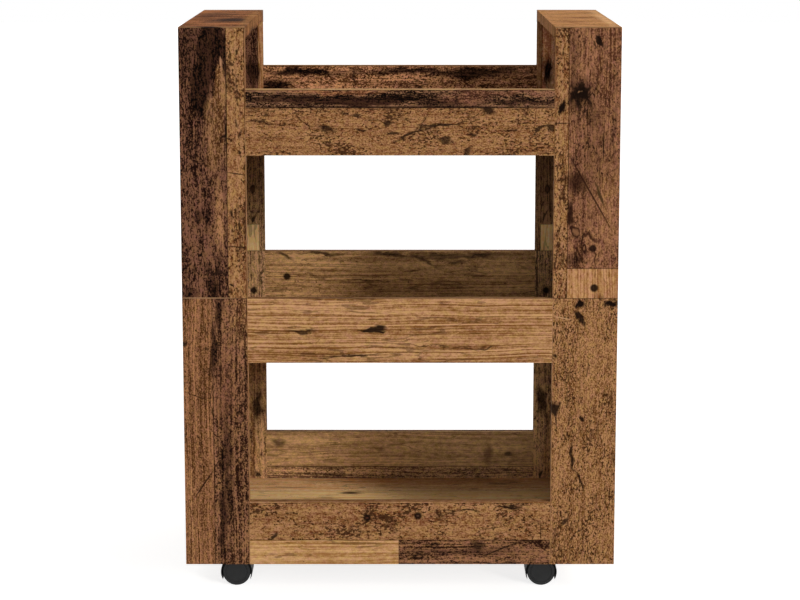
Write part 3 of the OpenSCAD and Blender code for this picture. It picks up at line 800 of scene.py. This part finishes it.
# %% Bottom front rail
print_board(
    "bottom_front_rail", "X", "Z", ("Y", FRONT_FACE),
    [("speckled", *ALL, 85, 138.5),
     ("blond", -FAR, -1.5, BOTTOM - EDGE, 85),
     ("bog", -1.5, FAR, BOTTOM - EDGE, 85),
     ("honey", *ALL, 138.5, BOTTOM + RAIL_H + EDGE)],
    [(90, 68, 150, 12, 0, 0.5, 0.6, *BLACK)],
    [(-46, 117, 11, 11, 0, *NAIL_HOLE),
     (-46, 117, 4, 2.4, 0, 0.4, 0.4, "#6a3c2c", "clean"),
     (25, 120, 11, 11, 0, *NAIL_HOLE),
     (25, 120, 4, 2.4, 0, 0.4, 0.4, "#6a4a3c", "clean"),
     (90, 127, 44, 3, -4, *DEEP_CHIP),
     (152, 133, 38, 3, 0, *GOUGE),
     (197, 98, 1.6, 26, 0, 0.4, 0.8, HOLE, "clean"),
     (50, 78, 12, 10, 0, 0.25, 0.9, HOLE, "torn"),
     (50, 78, 6, 4, 0, 0.4, 0.8, "#7e563a", "torn"),
     (26, 63, 14, 9, 0, 0.25, 0.9, HOLE, "torn"),
     (26, 63, 8, 3, 0, 0.4, 0.8, "#7e563a", "torn"),
     (110, 76, 15, 12, 0, 0.5, 0.8, HOLE, "torn"),
     (141, 72, 57, 2.2, 23, 0.4, 0.85, HOLE, "clean"),
     (-177, 91, 9, 7, 0, *GOUGE)],
    seed=5)

# %% [markdown]
# A back rail is seen through the openings from the front, and whole from behind. A real board has
# another print on its back. One print laid through the board would show the front face's marks
# there again, so planks can have a layer: the front layer is the nearer half of the board's
# thickness, and the rear one the rest.

# %% Back rails
# The print wraps over a rail's edge, so a height on the rear face counts THICK more.
THICK = 15
FRONT = (-FAR, THICK / 2)
REAR = (THICK / 2, FAR)

print_board(
    "top_back_rail", "X", "Z", ("Y", BACK_FACE),
    [("burnt", *ALL, TOP - EDGE, 715.3),
     ("blond", *ALL, 715.3, TOP + RAIL_H + EDGE),
     ("cork", -FAR, 40, TOP - EDGE, 690 + THICK, *REAR),
     ("streaked", 40, FAR, TOP - EDGE, 690 + THICK, *REAR),
     ("tarred", *ALL, 690 + THICK, 714.5 + THICK, *REAR)],
    [(-150, 705, 110, 12, 0, 0.4, 1.0, *BLACK),
     (-190, 684, 50, 18, 0, 0.4, 1.0, *BLACK),
     (60, 706, 300, 9, 0, 0.4, 0.9, *BLACK),
     (110, 700, 90, 12, 0, 0.4, 0.9, *BLACK)],
    [(-70, 700, 5, 22, 0, *CHIP)],
    seed=6)
print_board(
    "middle_back_rail", "X", "Z", ("Y", BACK_FACE),
    [("olive", *ALL, MIDDLE - EDGE, MIDDLE + RAIL_H + EDGE),
     ("pine", *ALL, MIDDLE - EDGE, 400 + THICK, *REAR),
     ("russet", *ALL, 400 + THICK, MIDDLE + RAIL_H + EDGE, *REAR)],
    [(90, 421, 200, 9, 0, 0.5, 0.7, *BLACK),
     (-20, 372, 300, 40, 0, 0.6, 0.5, *OCHRE)],
    [(-176, 388, 11, 11, 0, *NAIL_HOLE),
     (-120, 424, 60, 6, 0, *CHIP),
     (-20, 424, 40, 6, 0, *CHIP),
     (-178, 420, 22, 7, -20, *CHIP),
     (-44, 382, 80, 2.2, -2, *FAINT_CHIP),
     (40, 414, 46, 5, -24, 0.4, 0.7, "#22100a", "torn"),
     (88, 411, 22, 7, 0, 0.4, 0.7, "#22100a", "torn"),
     (124, 420, 34, 6, 8, 0.4, 0.7, "#22100a", "torn"),
     (22, 397, 34, 3, 10, 0.4, 0.6, "#22100a", "torn")],
    seed=7)
print_board(
    "bottom_back_rail", "X", "Z", ("Y", BACK_FACE),
    [("dusky", *ALL, 84, BOTTOM + RAIL_H + EDGE),
     ("sienna", *ALL, BOTTOM - EDGE, 84),
     ("speckled", *ALL, 92 + THICK, BOTTOM + RAIL_H + EDGE, *REAR),
     ("honey", -80, FAR, BOTTOM - EDGE, 92 + THICK, *REAR),
     ("bog", -FAR, -80, BOTTOM - EDGE, 92 + THICK, *REAR)],
    [],
    [(-190, 123, 22, 12, 0, *FAINT_CHIP),
     (-34, 116, 16, 9, 0, 0.5, 0.6, "#4a2c18", "torn"),
     (-32, 117, 10, 1.6, 20, 0.4, 0.6, "#c8a070", "clean"),
     (139, 104, 12, 34, 0, 0.5, 0.6, "#3c2010", "torn"),
     (173, 107, 16, 8, 0, *CHIP)],
    seed=8)

# %% [markdown]
# ## The back posts
#
# From the front only a narrow strip of each back post shows, beside the openings. The two strips
# are nearly mirror images in the photograph, with a knot above, a pale patch in the middle and a
# nail hole below. Two tables would repeat each row, so one serves both, with the sign of the
# side.

# %% Back posts
# What each back post shows from behind.
REARS = {
    "left": [("cork", -FAR, 360, *ALL),
             ("streaked", 360, FAR, -FAR, -242), ("umber", 360, FAR, -242, FAR)],
    "right": [("russet", -FAR, 470, *ALL), ("pine", 470, 520, *ALL),
              ("bog", 520, FAR, -FAR, 262), ("speckled", 520, FAR, 262, FAR)],
}
# A worn strip runs down each inner edge. Beside it a pale patch reaches up to PATCH_TOP, and a
# plank of its own begins at CROWN. The golden patch is partly the print and partly painted light,
# paler than the print where the top rail's shadow falls on it. The sienna planks and the right
# post's clay crown are painted paler than the print too, to make up for the shade inside the cart.
STRIP, PATCH_TOP, CROWN = 8, 470, 655
BACK_POSTS = (("left", -1, "sienna", "umber", 9), ("right", 1, "walnut", "clay", 10))
for side, sign, upper, crown, seed in BACK_POSTS:
    inner, outer = sorted((INSIDE * sign, (OUTER - THICK) * sign))
    strip = sorted((INSIDE * sign, (INNER + STRIP) * sign))
    patch = sorted(((INNER + STRIP) * sign, 240 * sign))
    behind = sorted(((INNER + STRIP) * sign, 244 * sign))
    print_board(
        side + "_back_post", "Z", "X", ("Y", BACK_FACE),
        [*REARS[side],
         (upper, JOINT, OVER, inner, outer, *FRONT),
         ("sienna", UNDER, JOINT, inner, outer, *FRONT),
         ("golden", JOINT, PATCH_TOP, *patch, *FRONT),
         (crown, CROWN, OVER, *behind, *FRONT),
         ("honey", CROWN, OVER, *strip, *FRONT),
         ("edge", BAND, OVER, *ALL)],
        [(706, 226 * sign, 44, 18, 0, 0.4, 1.0, *BLACK),
         (186, 222 * sign, 44, 12, 0, 0.4, 0.9, *BLACK),
         (120, 232 * sign, 120, 8, 0, 0.4, 0.7, *OCHRE)],
        [(525, 228 * sign, 14, 8, 0, 0.2, 0.8, HOLE, "clean"),
         (525, 228 * sign, 8, 4, 0, 0.3, 0.8, "#6a4630", "clean"),
         (484, 226 * sign, 20, 4, 30, *CHIP),
         (366, 228 * sign, 11, 10, 0, 0.3, 0.95, HOLE, "clean"),
         (390, 214.5 * sign, 90, 1.8, 0, *CHIP),
         (72, 224 * sign, 10, 5, 0, *GOUGE)],
        seed=seed)

# %% [markdown]
# ## The shelves
#
# Each shelf shows five planks that run from side to side. The front view sees only into the
# bottom one, so it alone has stains and marks. It is in light at the left and in the right post's
# shadow at the right. Its golden and rose rows at the back are painted light, paler than a real
# print, and its one stain is painted shade over the right part of those rows, where the shadow
# falls. The three could share a material, but from above equal shelves would look copied.

# %% Shelves
SHELF_TOP = {"bottom": 65, "middle": 353, "top": 641}
# The bottom shelf's one stain darkens the right of its back rows: painted shade for the post's
# shadow.
SHELF_PAINTED_SHADE = {"bottom": [(95, 165, 270, 110, 0, 0.4, 0.6, "#b98a5a", "#7a5230")]}
SHELF_MARKS = {"bottom": [(-77, 115, 34, 14, 0, 0.4, 0.85, HOLE, "combed"),
                          (-170, 150, 60, 8, 0, 0.5, 0.5, "#5a2c18", "combed"),
                          (-100, 190, 80, 6, 0, 0.5, 0.5, "#5a2c18", "combed")]}
DEEP = BACK_FACE + EDGE
SHELF_JOINTS = (-DEEP, -120, -35, 42, 129, DEEP)
for level, rows, seed in (("bottom", ("speckled", "olive", "honey", "golden", "rose"), 11),
                          ("middle", ("olive", "speckled", "streaked", "cork", "russet"), 12),
                          ("top", ("russet", "speckled", "olive", "bog", "streaked"), 13)):
    planks = [(kind, *ALL, *SHELF_JOINTS[i:i + 2]) for i, kind in enumerate(rows)]
    print_board(level + "_shelf", "X", "Y", ("Z", SHELF_TOP[level]), planks,
                SHELF_PAINTED_SHADE.get(level, ()), SHELF_MARKS.get(level, ()), seed=seed)

# %% [markdown]
# ## The tops and the outer sides
#
# The photograph shows the two top boards nearly edge on: the left one rusty with black smears,
# the right one pale and golden. Their sides are cut across the grain, so the print wraps along
# it.

# %% Top boards
print_board(
    "left_top_board", "X", "Y", ("Z", HIGH),
    [("rust", *ALL, *ALL)],
    [(-236, -45, 46, 90, 0, 0.5, 0.9, *BLACK),
     (-260, -90, 44, 60, 0, 0.5, 0.7, "#6a4028", "#1c0e06"),
     (-282, 40, 30, 90, 0, 0.5, 0.6, "#7a4628", "#2a140a"),
     # This pale streak along the inner edge is a painted highlight.
     (-216, 0, 13, 440, 0, 0.4, 0.9, "#c48a50", "#8a5a30"),
     (-270, 100, 50, 70, 0, 0.5, 0.6, *BLACK)],
    seed=14, wrap="along")
print_board(
    "right_top_board", "X", "Y", ("Z", HIGH),
    [("amber", *ALL, *ALL)],
    [(255, 90, 90, 60, 0, 0.5, 0.7, "#ecb27a", "#b0773f"),
     (240, -100, 40, 70, 0, 0.6, 0.7, "#c08450", "#7a4a26"),
     (268, 10, 50, 60, 0, 0.6, 0.6, "#c08450", "#7a4a26"),
     (292, 0, 14, 440, 0, 0.5, 0.8, "#ffd09a", "#dc9c62")],
    [(250, 20, 50, 5, 4, 0.4, 0.6, "#5a341c", "combed"),
     (240, -90, 40, 6, -4, 0.4, 0.5, "#5a341c", "combed")],
    seed=15, wrap="along")

# %% [markdown]
# The photograph doesn't show the outer sides. Tables by hand would pretend to know them, so they
# are drawn at random from the same kinds of plank and a few real widths, in three lengths one
# above the other. Each draw has a seed, so the layout is the same on every run.

# %% Side panels
PLANK_WIDTHS = (58, 68, 82, 92)
LOWER_JOINTS, UPPER_JOINTS = (200, 420), (480, 660)
OUTER_KINDS = ("umber", "speckled", "streaked", "bog", "russet", "pine", "honey", "cork",
               "speckled", "streaked", "tarred")

for side, face, seed in (("left", -OUTER, 16), ("right", OUTER, 17)):
    draw = random.Random(seed)
    planks = []
    edge = -DEEP - THICK
    while edge < DEEP:
        wide = draw.choice(PLANK_WIDTHS)
        ends = [UNDER, draw.uniform(*LOWER_JOINTS), draw.uniform(*UPPER_JOINTS), OVER]
        for low, high in zip(ends, ends[1:]):
            planks.append((draw.choice(OUTER_KINDS), low, high, edge, edge + wide))
        edge += wide
    print_board(side + "_side_panel", "Z", "Y", ("X", face), planks, seed=seed)

# %% [markdown]
# ## Casters and fittings
#
# The casters are moulded in black nylon with a fine spark-eroded grain, which dulls the
# highlight. Everything else here is hidden in the cart: zinc-plated steel and cast zinc for the
# cam fittings, bare spring steel, natural nylon for the washers and beech for the dowels. One
# function serves them all, because each is a base with a slow change of tone, a change of gloss
# and a fine relief, at sizes of its own. The real grain of moulded nylon and cast metal is a
# tenth or two of a millimetre wide. That is too fine for this camera, so it is drawn three to
# five times coarser.

# %% A small part's material
# Noise seldom leaves this range, so it is stretched to the full one.
NOISE_FROM, NOISE_TO = 0.3, 0.7
TONE_DETAIL, TONE_ROUGHNESS = 3.0, 0.6
GRAIN_DETAIL, GRAIN_SHARE = 1.0, 0.4


def small_part(name, pale, deep, tone_mm, grain_mm, relief_mm, gloss, **fixed):
    """tone_mm is the size of the change of tone, grain_mm and relief_mm the width and height of the
    surface grain, and gloss the two ends of the roughness."""
    material = bpy.data.materials.new(name)
    tree = emptied(material)
    place = add(tree, "TexCoord", out="Object")
    place = add(tree, "VectorMath", {0: place, "Scale": 1 / MM}, operation="SCALE")
    sized = add(tree, "VectorMath", {0: place, 1: [1 / mm for mm in tone_mm]}, operation="MULTIPLY")
    tone = add(tree, "TexNoise",
               {"Vector": sized, "Scale": 1.0, "Detail": TONE_DETAIL, "Roughness": TONE_ROUGHNESS})
    steep = add(tree, "MapRange", {"Value": tone, "From Min": NOISE_FROM, "From Max": NOISE_TO})
    colour = add(tree, "Mix",
                 {MIX_FACTOR: steep, COLOUR_A: linear(deep), COLOUR_B: linear(pale)}, **AS_COLOUR)
    grain = add(tree, "TexNoise",
                {"Vector": place, "Scale": 1 / grain_mm, "Detail": GRAIN_DETAIL})
    bump = add(tree, "Bump",
               {"Strength": GRAIN_SHARE, "Distance": relief_mm * MM, "Height": grain})
    rough = add(tree, "MapRange",
                {"Value": tone, "From Min": NOISE_FROM, "From Max": NOISE_TO,
                 "To Min": gloss[0], "To Max": gloss[1]})
    surface = add(tree, "BsdfPrincipled",
                  {"Base Color": colour, "Roughness": rough, "Normal": bump, **fixed})
    add(tree, "OutputMaterial", {"Surface": surface})
    return material


print("Noise from", NOISE_FROM, "to", NOISE_TO, "is stretched to the full range")

# %% Casters
CORNERS = ("front_left", "front_right", "rear_left", "rear_right")


def each_caster(*pieces):
    return " ".join(corner + "_caster_" + piece for corner in CORNERS for piece in pieces)


# Nylon comes out of the mould dull and nearly black. Its scuffs are only a little paler.
dress(each_caster("hood"), small_part(
    "moulded_black_nylon", "#0f0f0f", "#090909", (14, 14, 14), 0.5, 0.03, (0.45, 0.6), IOR=1.53,
    **{"Specular IOR Level": 0.15}))
# Wheels are moulded smoother than the hood, and rolling on dusty floors greys them.
dress(each_caster("wheel_a", "wheel_b"), small_part(
    "moulded_wheel_nylon", "#1a1b1b", "#111111", (9, 9, 9), 0.9, 0.03, (0.4, 0.55), IOR=1.53,
    **{"Specular IOR Level": 0.2}))
print("Casters dressed:", len(CORNERS))

# %% Fittings
# Bright zinc on steel has a faint blue and straw cloud and small changes of gloss.
PLATED = each_caster("plate", "stem", "axle") + " caster_screws"
dress(PLATED + " rail_cam_bolts shelf_cam_bolts panel_cam_bolts", small_part(
    "zinc_plated_steel", "#cfd2d6", "#b9b6ac", (6, 6, 6), 0.6, 0.02, (0.25, 0.4), Metallic=1.0))
# A die leaves cast zinc greyer and grainier than plating.
dress("rail_cam_locks shelf_cam_locks panel_cam_locks", small_part(
    "die_cast_zinc", "#b4b5b7", "#8e8f92", (3, 3, 3), 0.5, 0.05, (0.4, 0.55), Metallic=1.0))
# Hardened spring steel keeps the dark blue-grey of its heat treatment.
dress("stem_rings", small_part(
    "blued_spring_steel", "#5c6068", "#43464d", (2, 2, 2), 0.3, 0.01, (0.3, 0.4), Metallic=1.0))
# Uncoloured nylon is milky and slightly warm.
dress(each_caster("washer"), small_part(
    "natural_nylon", "#ece7da", "#dfd8c6", (5, 5, 5), 0.6, 0.02, (0.35, 0.45), IOR=1.53))
# Turned beech is pale and pinkish, with short dark flecks along the grain.
dress("rail_dowels shelf_dowels panel_dowels", small_part(
    "turned_beech", "#dcb98e", "#b98d60", (3.5, 0.7, 0.7), 0.7, 0.08, (0.55, 0.7), IOR=1.5))
print("Materials in all:", len(bpy.data.materials))

# %% [markdown]
# ## Edges
#
# A saw and an edge bander leave no edge quite sharp. A bevel of half a millimetre catches the
# light along each board and leaves a fine groove where two boards meet. The construction's meshes
# are loose triangles, so a Weld joins their corners first. Both stay live as modifiers, because
# the construction itself isn't changed.

# %% Bevel the boards
BOARD_EDGE_MM = 0.5
BEVEL_SEGMENTS = 2
SHARP_DEGREES = 40
WELD_MM = 0.01
BOARD_ENDINGS = ("_post", "_rail", "_shelf", "_panel", "_board")

boards = [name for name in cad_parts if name.endswith(BOARD_ENDINGS)]
for name in boards:
    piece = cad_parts[name]
    weld = piece.modifiers.new("weld", "WELD")
    weld.merge_threshold = WELD_MM * MM
    bevel = piece.modifiers.new("bevel", "BEVEL")
    bevel.width = BOARD_EDGE_MM * MM
    bevel.segments = BEVEL_SEGMENTS
    bevel.limit_method = "ANGLE"
    bevel.angle_limit = math.radians(SHARP_DEGREES)
    bevel.use_clamp_overlap = True

print(len(boards), "boards have softened edges")
